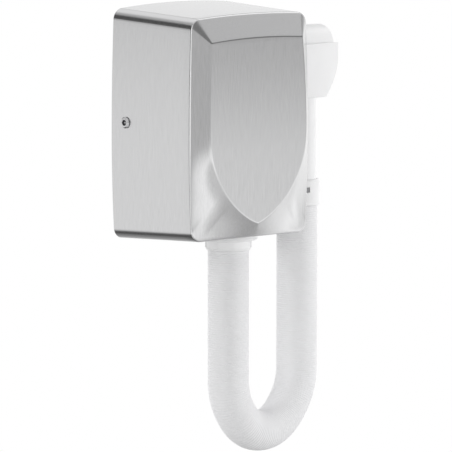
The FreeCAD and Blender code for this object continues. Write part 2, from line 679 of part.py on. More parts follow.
def swivel_collar():
    """The ring that lets the hose turn in the handle, with a window for its catch."""
    long = "(collar_top - collar_low)"
    sleeve = upright("sleeve", [
        ("collar_bore", "0"), ("collar_radius - 0.6", "0"), ("collar_radius", "0.6"),
        ("collar_radius", long + " - 1.2"), ("collar_radius - 1.2", long), ("collar_bore", long)],
        "collar_low")
    window = radial_box("window", "collar_bore - 2", "8", "latch_wide", "latch_high")
    piece(cut("collar", sleeve, window), "swivel_collar")
    gap = "2 * running_gap"
    piece(radial_box("catch", "latch_face - latch_thick", "latch_thick", f"latch_wide - {gap}",
                     f"latch_high - {gap}"), "latch_button")


def radial_box(name, start, deep, wide, high):
    """A block centred on the latch's window, its length pointing out of the collar."""
    item = doc.addObject("Part::Box", name)
    bind(item, Length=deep, Width=wide, Height=high)
    centre = FreeCAD.Vector(size("upper_leg"), -size("leg_depth"), size("latch_z"))
    spin = FreeCAD.Rotation(FreeCAD.Vector(0, 0, 1), size("latch_angle"))
    corner = FreeCAD.Vector(worked(start), -worked(wide) / 2, -worked(high) / 2)
    item.Placement = FreeCAD.Placement(centre, spin) * FreeCAD.Placement(corner,
                                                                         FreeCAD.Rotation())
    return item


def head_cylinder(name, back, front, radius):
    return cylinder(name, back, "-leg_depth", "head_z", radius, f"({front}) - ({back})", "right")


def hand_piece():
    """Cuff, handle tube and the level head that it blows through."""
    piece(upright("upper_cuff", [
        ("hose_bore - 1.2", "0"), ("handle_radius", "0"),
        ("handle_radius", "handle_low - collar_low"),
        ("hose_bore - 1.2", "handle_low - collar_low")], "collar_low"), "upper_hose_cuff")
    tube = upright("grip", [
        ("handle_bore", "0"), ("handle_radius", "0"), ("handle_radius", "head_z - handle_low"),
        ("handle_bore", "head_z - handle_low")], "handle_low")
    clear = head_cylinder("head_clearance", "head_back", "head_front",
                          "head_radius + shaft_clear")
    piece(cut("handle", tube, clear), "handle_tube")
    barrel = cut("barrel", head_cylinder("barrel_form", "head_back", "head_front", "head_radius"),
                 head_cylinder("barrel_space", "head_back + cap_thick", "head_front + 1",
                               "head_bore"),
                 cylinder("neck", "upper_leg", "-leg_depth", "head_z - head_radius - 1",
                          "neck_bore", "head_radius"),
                 head_cylinder("cap_opening", "head_back - 1", "head_back + cap_thick + 1",
                               "head_bore - 2"))
    piece(barrel, "head_shell")
    plug = turned("plug", [
        ("0", "0"), ("head_bore - 2.1", "0"), ("head_bore - 2.1", "cap_thick"),
        ("head_bore - 0.1", "cap_thick"), ("head_bore - 0.1", "cap_thick + plug_step"),
        ("0", "cap_thick + plug_step")],
        "head_back", "-leg_depth", "head_z", "right")
    piece(plug, "head_end_cap")
    piece(head_cylinder("magnet", "head_back + cap_thick + plug_step",
                        "head_back + cap_thick + plug_step + magnet_thick", "magnet_radius"),
          "holder_magnet")
    hoop = turned("grille_hoop", [
        ("head_bore - 2", "0"), ("head_bore - 0.1", "0"), ("head_bore - 0.1", "grille_thick"),
        ("head_bore - 2", "grille_thick")], "head_front - grille_thick - 2", "-leg_depth",
        "head_z", "right")
    bars = []
    for offset in range(-2, 3):
        half = math.sqrt(size("head_bore") ** 2 - (size("grille_pitch") * offset) ** 2) - 1
        bars.append(box("grille_bar", "head_front - grille_thick - 2",
                        f"-leg_depth + {offset} * grille_pitch - grille_bar / 2",
                        f"head_z - {half:.2f}", "grille_thick", "grille_bar", f"{2 * half:.2f}"))
    piece(fuse("grille", hoop, *bars), "outlet_grille")


# ---------------------------------------------------------------- holder

def cheek(y):
    """One side of the holder: level on top, cut back in a long curve below its nose."""
    top, low = size("cheek_top"), size("cheek_low")
    nose = FreeCAD.Vector(size("cheek_end"), y, size("cheek_drop"))
    toe = FreeCAD.Vector(size("cheek_toe"), y, low)
    middle = FreeCAD.Vector(size("cheek_bend_x"), y, size("cheek_bend_z"))
    back = size("base_face") - 1
    edges = [Part.LineSegment(FreeCAD.Vector(back, y, top),
                              FreeCAD.Vector(size("cheek_end"), y, top)).toShape(),
             Part.LineSegment(FreeCAD.Vector(size("cheek_end"), y, top), nose).toShape(),
             Part.Arc(nose, middle, toe).toShape(),
             Part.LineSegment(toe, FreeCAD.Vector(back, y, low)).toShape(),
             Part.LineSegment(FreeCAD.Vector(back, y, low),
                              FreeCAD.Vector(back, y, top)).toShape()]
    face = Part.Face(Part.Wire(edges))
    return face.extrude(FreeCAD.Vector(0, size("cheek_thick"), 0))


def cradle(outer):
    """The holder: a foot screwed to the flank, two cheeks and a seat for the head between."""
    axis = -size("leg_depth")
    half = size("base_half")
    foot = Part.makeBox(20, 2 * half, size("base_top") - size("base_low"),
                        FreeCAD.Vector(size("base_face") - 20, axis - half, size("base_low")))
    foot = foot.cut(outer)
    foot = max(foot.Solids, key=lambda part: part.BoundBox.XMax)
    reach = size("cheek_half")
    thick = size("cheek_thick")
    seat_low = size("cheek_low")
    seat = Part.makeBox(size("saddle_end") - size("base_face") + 1, 2 * reach,
                        size("head_z") - seat_low,
                        FreeCAD.Vector(size("base_face") - 1, axis - reach, seat_low))
    seat = seat.cut(rod(size("base_face") - THROUGH / 2, axis, size("head_z"),
                        size("head_radius") + size("saddle_gap"), THROUGH, (1, 0, 0)))
    form = foot.fuse([cheek(axis - reach), cheek(axis + reach - thick), seat])
    for y, z in HOLDER_SCREWS:
        form = form.cut(rod(size("lock_start"), y, z, size("holder_screw_radius") + 0.05,
                            size("holder_screw_end") + 0.2 - size("lock_start"), (1, 0, 0)))
    return piece(solid("holder", form.removeSplitter()), "cradle")


def holder_fixings(inner):
    """Four screws from inside the housing, and the switch that senses the hand piece."""
    screws = []
    for y, z in HOLDER_SCREWS:
        start = size("holder_head_x")
        shank = rod(start, y, z, size("holder_screw_radius"), size("holder_screw_end") - start,
                    (1, 0, 0))
        screws.append(shank.fuse(rod(start - 2, y, z, size("holder_head_radius"), 2, (1, 0, 0))))
    piece(solid("cradle_fixings", Part.makeCompound(screws)), "cradle_screws")
    reed = Part.makeBox(size("reed_long"), size("reed_wide"), size("reed_high"),
                        FreeCAD.Vector(size("reed_x"), -size("leg_depth") - size("reed_wide") / 2,
                                       size("head_z") - size("reed_high") / 2))
    piece(solid("reed", reed.common(inner)), "reed_switch")


def main():
    fill_sheet()
    outer = cover_block(0, 0)
    inner = cover_block(size("cover_wall"), -1)
    front_cover(outer, inner)
    wall_plate()
    lock_screw("left", "lock_screw_left")
    lock_screw("right", "lock_screw_right")
    scroll_back()
    scroll_front()
    motor_can()
    motor_parts()
    impeller()
    heater_duct()
    heater()
    control_board()
    mains_entry()
    hose_flange(outer)
    flange_screws()
    lower_hose_end()
    hose()
    swivel_collar()
    hand_piece()
    cradle(outer)
    holder_fixings(inner)
    doc.recompute()
    write_pieces()


def write_pieces():
    for item in doc.Objects:
        if {"Invalid", "Error"} & set(item.State):
            raise RuntimeError(f"{item.Name} failed: {item.State}")
    for item in PIECES:
        if item.Shape.isNull() or not item.Shape.isValid():
            raise RuntimeError(f"{item.Label} has no valid shape")
    os.makedirs("parts", exist_ok=True)
    for item in PIECES:
        item.Shape.exportStep(f"parts/{item.Label}.step")
        bounds = item.Shape.BoundBox
        print(f"{item.Label:18s} {len(item.Shape.Solids)} solids, {item.Shape.Volume:10.0f} mm3, "
              f"x {bounds.XMin:.1f} {bounds.XMax:.1f}  y {bounds.YMin:.1f} {bounds.YMax:.1f}  "
              f"z {bounds.ZMin:.1f} {bounds.ZMax:.1f}")


main()
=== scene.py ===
import math

import bmesh
import bpy
import numpy as np
from mathutils import Matrix, Vector


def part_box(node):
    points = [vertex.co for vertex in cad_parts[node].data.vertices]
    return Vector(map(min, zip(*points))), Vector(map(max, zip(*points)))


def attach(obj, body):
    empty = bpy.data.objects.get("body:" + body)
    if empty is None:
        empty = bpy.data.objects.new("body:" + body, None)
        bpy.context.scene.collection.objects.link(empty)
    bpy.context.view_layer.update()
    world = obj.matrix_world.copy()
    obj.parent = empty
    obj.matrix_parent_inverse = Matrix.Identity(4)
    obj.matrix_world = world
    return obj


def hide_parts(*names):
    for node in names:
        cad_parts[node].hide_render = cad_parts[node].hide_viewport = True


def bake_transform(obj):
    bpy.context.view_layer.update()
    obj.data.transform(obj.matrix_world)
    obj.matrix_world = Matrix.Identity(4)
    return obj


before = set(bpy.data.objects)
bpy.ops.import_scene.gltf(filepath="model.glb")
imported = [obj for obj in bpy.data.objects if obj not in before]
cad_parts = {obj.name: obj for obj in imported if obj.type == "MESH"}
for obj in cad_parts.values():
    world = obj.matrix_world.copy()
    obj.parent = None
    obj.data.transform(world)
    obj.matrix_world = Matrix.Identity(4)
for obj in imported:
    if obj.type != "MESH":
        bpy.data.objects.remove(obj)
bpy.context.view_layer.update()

MM = 0.001

# ------------------------------------------------------------------ camera, floor and light
# The camera stands far off on a long lens, to the left of the dryer and a little above it, so
# that upright edges stay upright. The dryer hangs on a wall, so the pale floor lies well below.

VIEW_TURN, VIEW_RISE = math.radians(-43.3), math.radians(6.2)
VIEW_DISTANCE, VIEW_WIDTH, SENSOR = 7.0, 0.480851, 36.0
target = Vector((16.7, -63.6, -112.3)) * MM
towards_camera = Vector((math.sin(VIEW_TURN) * math.cos(VIEW_RISE),
                         -math.cos(VIEW_TURN) * math.cos(VIEW_RISE), math.sin(VIEW_RISE)))
lens = bpy.data.cameras.new("camera")
lens.sensor_width = SENSOR
lens.lens = SENSOR * VIEW_DISTANCE / VIEW_WIDTH
lens.clip_end = 60
camera = bpy.data.objects.new("camera", lens)
camera.location = target + towards_camera * VIEW_DISTANCE
camera.rotation_euler = towards_camera.to_track_quat("Z", "Y").to_euler()
bpy.context.scene.collection.objects.link(camera)
bpy.context.scene.camera = camera
bpy.context.scene.view_settings.view_transform = "Standard"


def mesh_object(name, points, faces, smooth=35):
    """A mesh in millimetres, smooth but for edges sharper than the given angle."""
    mesh = bpy.data.meshes.new(name)
    mesh.from_pydata([Vector(point) * MM for point in points], [], faces)
    mesh.validate()
    item = bpy.data.objects.new(name, mesh)
    bpy.context.scene.collection.objects.link(item)
    return smoothed(item, smooth)


def smoothed(item, angle):
    """Turn all faces outwards and shade them smooth, with sharp edges past the angle."""
    build = bmesh.new()
    build.from_mesh(item.data)
    bmesh.ops.recalc_face_normals(build, faces=build.faces)
    build.to_mesh(item.data)
    build.free()
    item.data.shade_smooth()
    item.data.set_sharp_from_angle(angle=math.radians(angle))
    return item


def surface(name, colour, roughness, metallic=0.0):
    """A new material: its tree, its shader and a maker of further nodes for it."""
    material = bpy.data.materials.new(name)
    material.use_nodes = True
    tree = material.node_tree
    shader = tree.nodes["Principled BSDF"]
    shader.inputs["Base Color"].default_value = (*colour, 1)
    shader.inputs["Roughness"].default_value = roughness
    shader.inputs["Metallic"].default_value = metallic
    return material, tree, shader


def wire(tree, start, end):
    """Join an output socket to an input socket."""
    tree.links.new(start, end)


def node(tree, kind, **settings):
    """A shader node with its inputs or settings given by name."""
    made = tree.nodes.new(kind)
    for name, value in settings.items():
        label = name.replace("_", " ").title()
        if label in made.inputs:
            made.inputs[label].default_value = value
        else:
            setattr(made, name, value)
    return made


def grain(tree, stretch, detail=3.0):
    """Noise on the piece's own coordinates, with so many grains to the metre each way."""
    place = tree.nodes.new("ShaderNodeTexCoord")
    scale = tree.nodes.new("ShaderNodeMapping")
    scale.inputs["Scale"].default_value = stretch
    noise = node(tree, "ShaderNodeTexNoise", scale=1.0, detail=detail, roughness=0.6)
    wire(tree, place.outputs["Object"], scale.inputs["Vector"])
    wire(tree, scale.outputs["Vector"], noise.inputs["Vector"])
    return noise.outputs["Fac"]


def ranged(tree, value, low, high):
    """Spread the middle of a noise over a range."""
    made = node(tree, "ShaderNodeMapRange")
    for name, number in (("From Min", 0.3), ("From Max", 0.7), ("To Min", low), ("To Max", high)):
        made.inputs[name].default_value = number
    wire(tree, value, made.inputs["Value"])
    return made.outputs["Result"]


def roughen(tree, shader, value, distance, strength=1.0):
    """A bump of the given height in metres."""
    made = node(tree, "ShaderNodeBump", distance=distance, strength=strength)
    wire(tree, value, made.inputs["Height"])
    wire(tree, made.outputs["Normal"], shader.inputs["Normal"])


def tinted(tree, shader, value, dark, light):
    """Let a noise carry the colour between two shades."""
    made = tree.nodes.new("ShaderNodeMix")
    made.data_type = "RGBA"
    made.inputs["A"].default_value = (*dark, 1)
    made.inputs["B"].default_value = (*light, 1)
    wire(tree, value, made.inputs["Factor"])
    for socket in made.outputs:
        if socket.type == "RGBA":
            wire(tree, socket, shader.inputs["Base Color"])


FLOOR_DROP, FLOOR_RADIUS, FLOOR_SIDES = -1500, 7000, 96
floor = mesh_object("floor", [
    (FLOOR_RADIUS * math.cos(math.tau * turn / FLOOR_SIDES),
     FLOOR_RADIUS * math.sin(math.tau * turn / FLOOR_SIDES), FLOOR_DROP)
    for turn in range(FLOOR_SIDES)], [tuple(range(FLOOR_SIDES))])
floor_paint, tree, shader = surface("studio_floor", (0.8, 0.8, 0.8), 0.8)
tinted(tree, shader, ranged(tree, grain(tree, (3, 3, 3)), 0, 1), (0.60, 0.60, 0.60),
       (0.64, 0.64, 0.64))
floor.data.materials.append(floor_paint)
floor.visible_glossy = False

# The studio is a pale grey room hung with softly edged cards and flags, which the steel mirrors.
# Each is a middle bearing (degrees from straight ahead, right positive), its half width and the
# softness of its sides, its lowest and highest elevation, their softness, and its light.
ROOM, DARKEST = 0.58, 0.10
CARDS = [
    # behind, mirrored in the cover's top and its left flank
    (140, 40, 25, -40, 75, 15, 0.42),
    (-127, 24, 16, -24, -6, 13, 0.42),
    (-142, 46, 10, 13, 32, 6, -0.95),
    (170, 55, 20, -90, -35, 20, -0.52),
    (126, 12, 8, 24, 40, 6, -0.60),
    # the left rim's bright line and the dark one beside it
    (-76, 8, 6, -60, 40, 10, 1.00),
    (-111, 7, 6, -60, 50, 10, -0.60),
    # ahead, mirrored in the facets and the skirt under the shield
    (0, 22, 14, 16, 45, 9, -0.34),
    (-12, 18, 12, -20, -11, 4, 0.48),
    (-22, 26, 24, -30, -22, 12, 0.22),
    (18, 5, 12, -22, -8, 6, 0.22),
    (39, 3, 7, -34, -20, 4, -0.14),
    (68, 4, 11, -30, -16, 5, 0.52),
    (-10, 90, 30, -90, -76, 12, -0.25),
    # ahead on the right, mirrored in the shield and its edges
    (44, 8, 4, -17, -14, 3, 0.50),
    (50, 30, 20, -14, -6, 5, 0.30),
    (50, 25, 12, 12, 22, 5, -0.35),
    (57, 20, 15, 26, 45, 8, 0.10),
    (72, 8, 8, -4, 12, 5, -0.45),
    (82, 14, 10, 40, 56, 6, 0.70),
    (100, 26, 18, -25, 40, 12, 0.16),
    # overhead
    (0, 180, 1, 60, 90, 7, 0.20),
]
studio = bpy.data.worlds.new("studio")
bpy.context.scene.world = studio
studio.use_nodes = True
tree = studio.node_tree
tree.nodes.clear()


def sum_of(first, second, operation="ADD"):
    """Arithmetic on two sockets or numbers."""
    made = node(tree, "ShaderNodeMath", operation=operation)
    for socket, value in zip(made.inputs, (first, second)):
        if isinstance(value, (int, float)):
            socket.default_value = value
        else:
            wire(tree, value, socket)
    return made.outputs["Value"]


def step_between(value, low, high):
    """Nothing below the low end, one above the high end, and a soft step between."""
    made = node(tree, "ShaderNodeMapRange", interpolation_type="SMOOTHSTEP")
    made.inputs["From Min"].default_value = low
    made.inputs["From Max"].default_value = high
    wire(tree, value, made.inputs["Value"])
    return made.outputs["Result"]


look = tree.nodes.new("ShaderNodeTexCoord").outputs["Generated"]
apart = tree.nodes.new("ShaderNodeSeparateXYZ")
wire(tree, look, apart.inputs["Vector"])
height = sum_of(apart.outputs["Z"], 0.0, "ARCSINE")
bearing = sum_of(apart.outputs["X"], sum_of(apart.outputs["Y"], -1.0, "MULTIPLY"), "ARCTAN2")
total = ROOM
for middle, half, side_edge, low, high, edge, light in CARDS:
    offset = sum_of(sum_of(bearing, math.radians(middle), "SUBTRACT"), math.pi, "ADD")
    turned = sum_of(sum_of(offset, math.tau, "FLOORED_MODULO"), math.pi, "SUBTRACT")
    beside = sum_of(turned, 0.0, "ABSOLUTE")
    share = step_between(beside, math.radians(half + side_edge), math.radians(half))
    for end, inside in ((low - edge, low), (high + edge, high)):
        share = sum_of(share, step_between(height, math.radians(end), math.radians(inside)),
                       "MULTIPLY")
    total = sum_of(sum_of(share, light, "MULTIPLY"), total)
lit, seen = (tree.nodes.new("ShaderNodeBackground") for _ in range(2))
wire(tree, sum_of(total, DARKEST, "MAXIMUM"), lit.inputs["Strength"])
lit.inputs["Color"].default_value = seen.inputs["Color"].default_value = (1, 1, 1, 1)
ray = tree.nodes.new("ShaderNodeLightPath")
choose = tree.nodes.new("ShaderNodeMixShader")
wire(tree, ray.outputs["Is Camera Ray"], choose.inputs["Fac"])
wire(tree, lit.outputs["Background"], choose.inputs[1])
wire(tree, seen.outputs["Background"], choose.inputs[2])
output = tree.nodes.new("ShaderNodeOutputWorld")
wire(tree, choose.outputs["Shader"], output.inputs["Surface"])


def lamp(name, bearing_degrees, elevation, distance, size, watts):
    """A square soft box aimed at the dryer, which lights matt plastic but isn't mirrored."""
    light = bpy.data.lights.new(name, "AREA")
    light.size = size
    light.energy = watts
    item = bpy.data.objects.new(name, light)
    turn, rise = math.radians(bearing_degrees), math.radians(elevation)
    away = Vector((math.sin(turn) * math.cos(rise), -math.cos(turn) * math.cos(rise),
                   math.sin(rise)))
    item.location = target + away * distance
    item.rotation_euler = away.to_track_quat("Z", "Y").to_euler()
    item.visible_glossy = False
    bpy.context.scene.collection.objects.link(item)


lamp("left_soft_box", -133, 6, 3.0, 1.5, 36)
lamp("right_soft_box", 55, 2, 3.0, 1.5, 25)
lamp("front_soft_box", -3, 8, 3.0, 1.5, 20)

# ------------------------------------------------------------------ wall plate and inner works
# A zinc-plated steel plate is screwed to the wall and takes the fan, motor, heater and
# electrics. The cover hides them, so each keeps its designed form and only gets its material.

def painted(material, *names):
    """Give designed parts a material of their own."""
    for name in names:
        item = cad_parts[name]
        item.data.materials.clear()
        item.data.materials.append(material)


def plain_metal(name, colour, roughness, grains, relief):
    """Rolled, drawn or cast metal, with a slight unevenness in its colour and gloss."""
    material, tree, shader = surface(name, colour, roughness, 1.0)
    fine = grain(tree, grains, 4.0)
    wire(tree, ranged(tree, fine, roughness - 0.06, roughness + 0.08), shader.inputs["Roughness"])
    tinted(tree, shader, ranged(tree, fine, 0, 1), tuple(part * 0.88 for part in colour), colour)
    roughen(tree, shader, fine, relief)
    return material


def moulded(name, colour, roughness, relief=0.00002, grains=700):
    """Moulded plastic or rubber: an even colour with a slight cloudiness and fine texture."""
    material, tree, shader = surface(name, colour, roughness)
    cloud = ranged(tree, grain(tree, (25, 25, 25)), 0, 1)
    tinted(tree, shader, cloud, tuple(part * 0.97 for part in colour), colour)
    roughen(tree, shader, grain(tree, (grains, grains, grains)), relief)
    return material


plate_steel = plain_metal("plate_steel", (0.62, 0.63, 0.65), 0.42, (90, 90, 90), 0.00002)
screw_steel = plain_metal("screw_steel", (0.74, 0.74, 0.75), 0.30, (500, 500, 500), 0.00001)
motor_steel = plain_metal("motor_steel", (0.55, 0.56, 0.57), 0.35, (300, 300, 40), 0.00001)
heater_steel = plain_metal("heater_steel", (0.52, 0.50, 0.48), 0.45, (200, 200, 40), 0.00002)
heating_wire = plain_metal("heating_wire", (0.45, 0.40, 0.36), 0.50, (900, 900, 900), 0.00002)
bush_bronze = plain_metal("bush_bronze", (0.62, 0.42, 0.22), 0.40, (400, 400, 400), 0.00001)
magnet = plain_metal("magnet", (0.12, 0.12, 0.13), 0.55, (600, 600, 600), 0.00002)
mica = moulded("mica", (0.62, 0.50, 0.30), 0.45, 0.00004, 300)
board = moulded("board", (0.10, 0.30, 0.14), 0.50)
fan_plastic = moulded("fan_plastic", (0.08, 0.08, 0.085), 0.50)
terminal_plastic = moulded("terminal_plastic", (0.16, 0.17, 0.19), 0.50)
rubber = moulded("rubber", (0.03, 0.03, 0.03), 0.75, 0.00004, 500)
painted(plate_steel, "wall_plate")
painted(fan_plastic, "scroll_back", "scroll_front", "impeller")
painted(motor_steel, "motor_can", "rotor", "motor_shaft")
painted(bush_bronze, "motor_bushes")
painted(magnet, "stator_magnets", "holder_magnet")
painted(screw_steel, "motor_screws", "flange_screws", "cradle_screws")
painted(heater_steel, "heater_duct")
painted(heating_wire, "heater_coil")
painted(mica, "mica_frame")
painted(board, "control_board")
painted(terminal_plastic, "board_standoffs", "relay", "capacitor", "thermal_cutout", "wire_clamp",
        "terminal_block", "reed_switch")
painted(rubber, "cable_grommet", "outlet_gasket")

# ------------------------------------------------------------------ front cover
# One deep drawing in stainless steel, brushed top to bottom: a swelling, slightly tapered box
# with a raised shield on its face. The sheet's edge shows at the wall, and air slots below.

cover_low, cover_high = (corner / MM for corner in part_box("front_cover"))
WALL, EDGE_ROUND = 1.5, 12.5
BACK = dict(y=0, half=86.8, mid=cover_high.x, top=121.5, crown=cover_high.z, low=123,
            belly=-cover_low.z, bow=0)
RIM = dict(y=-117, half=83.5, mid=85.9, top=116.2, crown=118.5, low=118.6, belly=117.2, bow=10)
SHIELD_Y, SHIELD_TIP, SHIELD_BEND = cover_low.y, -103, -16
SHIELD_HALF, SHIELD_WIDE, SHIELD_TOP, SHIELD_CROWN, SHIELD_CORNER = 66, 70, 91, 93.5, 2
FOOT_RADIUS, FOOT_STATIONS = 107, (0, 0.46, 0.62, 1)
BEND_REACH, BEND_TURN = 22, 0.13
EDGE_COUNTS = (22, 12, 26, 18, 14, 26)
CORNER_LONG = EDGE_ROUND * math.pi / 2


def brought_forward(way, inner, bow):
    """How far the rim's lower edge stands forward, by the way along it from the flank."""
    share = way / (CORNER_LONG + inner)
    return bow * (1 - (1 - share) ** 2 * (1 + 1.6 * share))


def round_corner(centre, radius, start, share, y):
    """A quarter turn clockwise from an angle."""
    angle = math.radians(start - 90 * share)
    return Vector((centre[0] + radius * math.cos(angle), y, centre[1] + radius * math.sin(angle)))


def box_outline(edge, share, y, half, mid, top, crown, low, belly, bow, inset=0.0):
    """A point on one of the six edges down the right side of the box's outline."""
    half, mid, top, crown = half - inset, mid - inset, top - inset, crown - inset
    low, belly = low - inset, belly - inset
    inner = half - EDGE_ROUND
    if edge == 0:
        return Vector((inner * share, y, crown - (crown - top) * share ** 2))
    if edge == 1:
        return round_corner((inner, top - EDGE_ROUND), EDGE_ROUND, 90, share, y)
    if edge == 2:
        start, swell = top - EDGE_ROUND, (mid - half) * (1 - (1 - share) ** 2)
        return Vector((half + swell, y, start + (SHIELD_BEND - start) * share))
    if edge == 3:
        end, swell = EDGE_ROUND - low, (mid - half) * (1 - share ** 2)
        return Vector((half + swell, y, SHIELD_BEND + (end - SHIELD_BEND) * share))
    if edge == 4:
        return round_corner((inner, EDGE_ROUND - low), EDGE_ROUND, 0, share,
                            y - brought_forward(CORNER_LONG * share, inner, bow))
    return Vector((inner * (1 - share),
                   y - brought_forward(CORNER_LONG + inner * share, inner, bow),
                   -low - (belly - low) * (1 - (1 - share) ** 2)))


def soft_bend(spot):
    """Ease the slight turn where the shield's flank runs into its foot."""
    near = max(0.0, BEND_REACH - abs(spot.z - SHIELD_BEND))
    return spot - Vector((BEND_TURN * near ** 2 / (4 * BEND_REACH), 0, 0))


def shield_outline(edge, share):
    """The matching point on the shield: its top, its corner, its flank, or its pointed foot."""
    if edge == 0:
        width = SHIELD_HALF - SHIELD_CORNER
        return Vector((width * share, SHIELD_Y,
                       SHIELD_CROWN - (SHIELD_CROWN - SHIELD_TOP) * share ** 2))
    if edge == 1:
        return round_corner((SHIELD_HALF - SHIELD_CORNER, SHIELD_TOP - SHIELD_CORNER),
                            SHIELD_CORNER, 90, share, SHIELD_Y)
    if edge == 2:
        start = SHIELD_TOP - SHIELD_CORNER
        swell = (SHIELD_WIDE - SHIELD_HALF) * (1 - (1 - share) ** 2)
        spot = Vector((SHIELD_HALF + swell, SHIELD_Y, start + (SHIELD_BEND - start) * share))
        return soft_bend(spot)
    first, last = FOOT_STATIONS[edge - 3:edge - 1]
    chord = math.hypot(SHIELD_WIDE, SHIELD_BEND - SHIELD_TIP)
    rise = math.sqrt(FOOT_RADIUS ** 2 - (chord / 2) ** 2)
    lean = Vector((SHIELD_TIP - SHIELD_BEND, SHIELD_WIDE)) / chord
    centre = Vector((SHIELD_WIDE, SHIELD_BEND + SHIELD_TIP)) / 2 + lean * rise
    begin = math.atan2(SHIELD_BEND - centre.y, SHIELD_WIDE - centre.x)
    end = math.atan2(SHIELD_TIP - centre.y, -centre.x)
    angle = begin + (end - begin) * (first + (last - first) * share)
    return soft_bend(Vector((centre.x + FOOT_RADIUS * math.cos(angle), SHIELD_Y,
                             centre.y + FOOT_RADIUS * math.sin(angle))))


def rounded_turn(before, corner, after, steps):
    """Points round a corner, between a point before it and a point after it."""
    shares = [step / steps for step in range(steps + 1)]
    return [before * (1 - s) ** 2 + corner * (2 * s * (1 - s)) + after * s ** 2 for s in shares]


RIM_EASE, SHIELD_EASE, DOME_RADIUS, DOME_HEIGHT = 1.8, 1.6, 3000, -20
FACET_STEPS, SIDE_STEPS = 12, 10
HOLLOW, SPINE, INSIDE_START, INSIDE_LIP = 0.45, 0.4, 0.08, 0.6


def domed(spot, depth=0.0):
    """The shield's very shallow crown: a point moved back as it nears the top or the foot."""
    fall = (spot.z - DOME_HEIGHT) ** 2 / (2 * DOME_RADIUS)
    return Vector((spot.x, SHIELD_Y + depth + fall, spot.z))


def eased(share):
    return share * share * (3 - 2 * share)


def cover_column(edge, share):
    """The section of the sheet: down the inside from the shield to the wall, and back outside.

    The facets are straight but for the skirt, which is slightly hollow."""
    back = box_outline(edge, share, **BACK)
    rim = box_outline(edge, share, **RIM)
    shield = domed(shield_outline(edge, share))
    inside = box_outline(edge, share, inset=WALL, **BACK)
    inner_rim = box_outline(edge, share, inset=WALL, **RIM) + Vector((0, WALL, 0))
    spine = Vector((0, 0, shield.z * SPINE))
    inward = (domed(spine) - shield).normalized()
    hollow = {3: eased(share), 4: 1, 5: (1 - share) ** 2}.get(edge, 0) * HOLLOW

    def facet(v):
        spot = rim.lerp(shield, v)
        spot.y = rim.y + (shield.y - rim.y) * v * (1 - hollow * (1 - v))
        return spot

    def facet_inside(v):
        return facet(v) + Vector((0, WALL, 0)) + inward * INSIDE_LIP

    run = (shield - rim).length
    rise = (rim - back).normalized()
    column = [domed(shield.lerp(spine, INSIDE_START), WALL)]
    column += [facet_inside(step / 4) for step in (4, 3, 2, 1)]
    column += [inner_rim, inner_rim.lerp(inside, 0.5), inside]
    column += [back.lerp(rim - rise * RIM_EASE, step / SIDE_STEPS) for step in range(SIDE_STEPS)]
    first, last = RIM_EASE / run, 1 - SHIELD_EASE / run
    column += rounded_turn(rim - rise * RIM_EASE, rim, facet(first), 6)
    column += [facet(first + (last - first) * step / FACET_STEPS)
               for step in range(1, FACET_STEPS)]
    edge_point = domed(shield + inward * SHIELD_EASE)
    column += rounded_turn(facet(last), shield, edge_point, 4)
    return column


right = [cover_column(edge, step / count)
         for edge, count in enumerate(EDGE_COUNTS) for step in range(count)]
right.append(cover_column(5, 1.0))
left = [[Vector((-spot.x, spot.y, spot.z)) for spot in column] for column in right[-2:0:-1]]
columns = right + left
rows = len(columns[0])
points = [spot for column in columns for spot in column]
faces = []
for index in range(len(columns)):
    here, there = index * rows, (index + 1) % len(columns) * rows
    faces += [(here + row, there + row, there + row + 1, here + row + 1)
              for row in range(rows - 1)]
# the shield's face and its inside are ladders of level strips between the two flanks
for row, depth in ((rows - 1, 0.0), (0, WALL)):
    for index in range(len(right) - 1):
        mirror = (len(columns) - index) % len(columns)
        beyond = (len(columns) - index - 1) % len(columns)
        corners = [index * rows + row, (index + 1) * rows + row, beyond * rows + row,
                   mirror * rows + row]
        faces.append(tuple(dict.fromkeys(corners)))
cover = mesh_object("steel_cover", points, faces, 24)


def without(item, cutter, angle=24):
    """Cut one closed mesh out of another for good."""
    made = item.modifiers.new("opening", "BOOLEAN")
    made.operation, made.solver, made.object = "DIFFERENCE", "EXACT", cutter
    state = bpy.context.evaluated_depsgraph_get()
    state.update()
    result = bpy.data.meshes.new_from_object(item.evaluated_get(state))
    item.modifiers.clear()
    item.data = result
    bpy.data.objects.remove(cutter)
    return smoothed(item, angle)


def shafts(name, forms):
    """Closed prisms along an axis: (axis, centre, outline points across it, start, end)."""
    points, faces = [], []
    for axis, outline, start, end in forms:
        base, count = len(points), len(outline)
        for level in (start, end):
            for first, second in outline:
                spot = [first, second]
                spot.insert(axis, level)
                points.append(Vector(spot))
        faces += [(base + step, base + (step + 1) % count, base + count + (step + 1) % count,
                   base + count + step) for step in range(count)]
        faces += [tuple(range(base, base + count)),
                  tuple(range(base + 2 * count - 1, base + count - 1, -1))]
    return mesh_object(name, points, faces)


def circle(x, y, radius, sides=64):
    return [(x + radius * math.cos(math.tau * turn / sides),
             y + radius * math.sin(math.tau * turn / sides)) for turn in range(sides)]


LEG_X, LEG_Y, OUTLET_RADIUS = 19.8, -64, 26.3
SLOT_STARTS, SLOT_FRONT, SLOT_BACK, SLOT_HALF = range(-74, -25, 8), -94, -34, 2.0
LOCK_Y, LOCK_Z, LOCK_HOLE = -21.5, 2, 3.9


def slot_outline(x):
    """A round-ended air slot running out from the wall."""
    ends = [(SLOT_BACK - SLOT_HALF, 0), (SLOT_FRONT + SLOT_HALF, 180)]
    return [(x + SLOT_HALF * math.cos(math.radians(start + turn)),
             y + SLOT_HALF * math.sin(math.radians(start + turn)))
            for y, start in ends for turn in range(0, 181, 15)]


